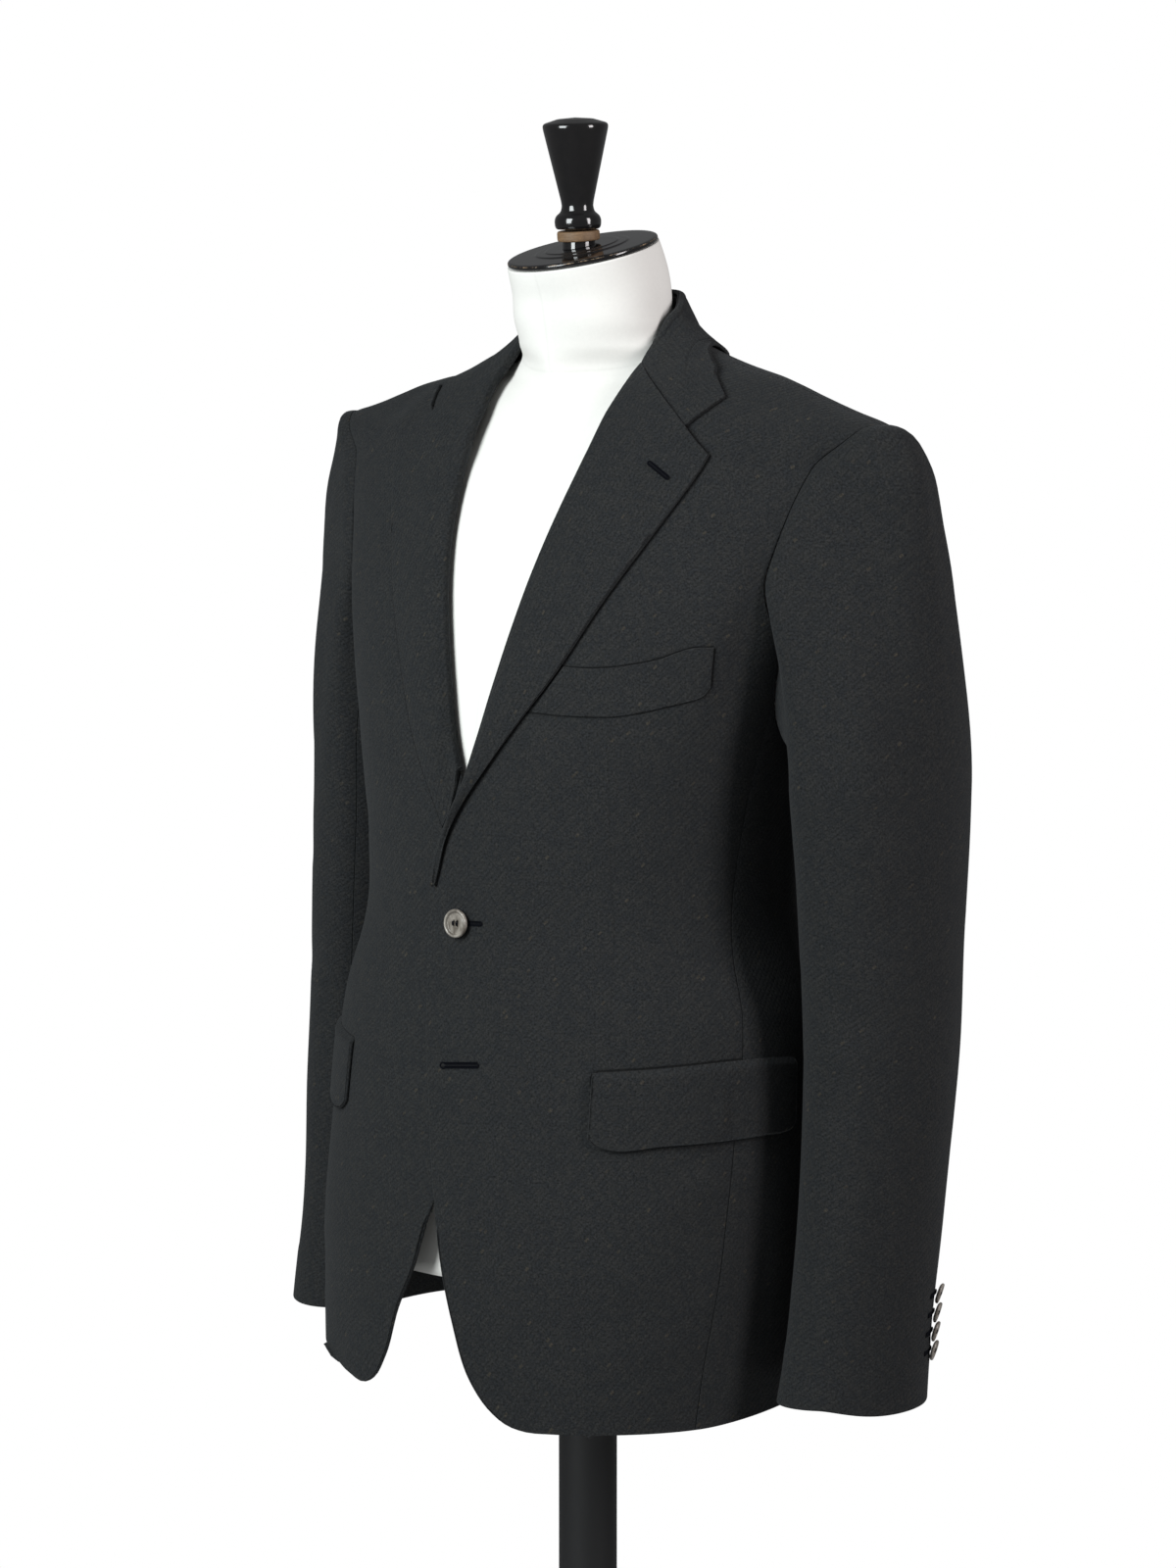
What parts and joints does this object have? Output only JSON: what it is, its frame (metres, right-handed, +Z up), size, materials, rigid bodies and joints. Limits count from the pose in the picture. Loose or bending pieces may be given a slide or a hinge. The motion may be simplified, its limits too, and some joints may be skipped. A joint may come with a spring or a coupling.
{
  "type": "sport coat on a dress form",
  "caption": "Tailored wool sport coat with notch lapels, buttoned on a limbless linen dress form that stands on a pole and a round base plate.",
  "frame": {"origin": "on the floor, at the middle of the base plate's underside, straight under the pole", "axes": "+Z up along the pole; the coat's front faces -Y; the wearer's left is +X"},
  "size_m": [0.5426, 0.3798, 1.6355],
  "materials": {
    "wool": "dark charcoal-green wool twill with heathered flecks and a slight nap",
    "horn": "mottled grey-brown horn, satin, with a raised rim",
    "linen": "off-white plain-woven cover, smooth and matt",
    "black_lacquer": "turned wood in glossy black lacquer, worn at its edges",
    "raw_wood": "bare brown wood, worn",
    "black_steel": "satin black powder coat"
  },
  "bodies": {
    "root": {"left_front": "wool", "left_side_panel": "wool", "left_back": "wool", "left_lapel": "wool", "left_top_sleeve": "wool", "left_under_sleeve": "wool", "left_flap": "wool", "right_front": "wool", "right_side_panel": "wool", "right_back": "wool", "right_lapel": "wool", "right_top_sleeve": "wool", "right_under_sleeve": "wool", "right_flap": "wool", "collar_fall": "wool", "collar_stand": "wool", "chest_welt": "wool", "front_button": "horn", "left_cuff_button_1": "horn", "left_cuff_button_2": "horn", "left_cuff_button_3": "horn", "left_cuff_button_4": "horn", "right_cuff_button_1": "horn", "right_cuff_button_2": "horn", "right_cuff_button_3": "horn", "right_cuff_button_4": "horn", "form_body": "linen", "neck_cap": "black_lacquer", "cap_boss": "black_lacquer", "knob": "black_lacquer", "cap_washer": "raw_wood", "pole": "black_steel", "base_plate": "black_steel"}
  },
  "joints": []
}
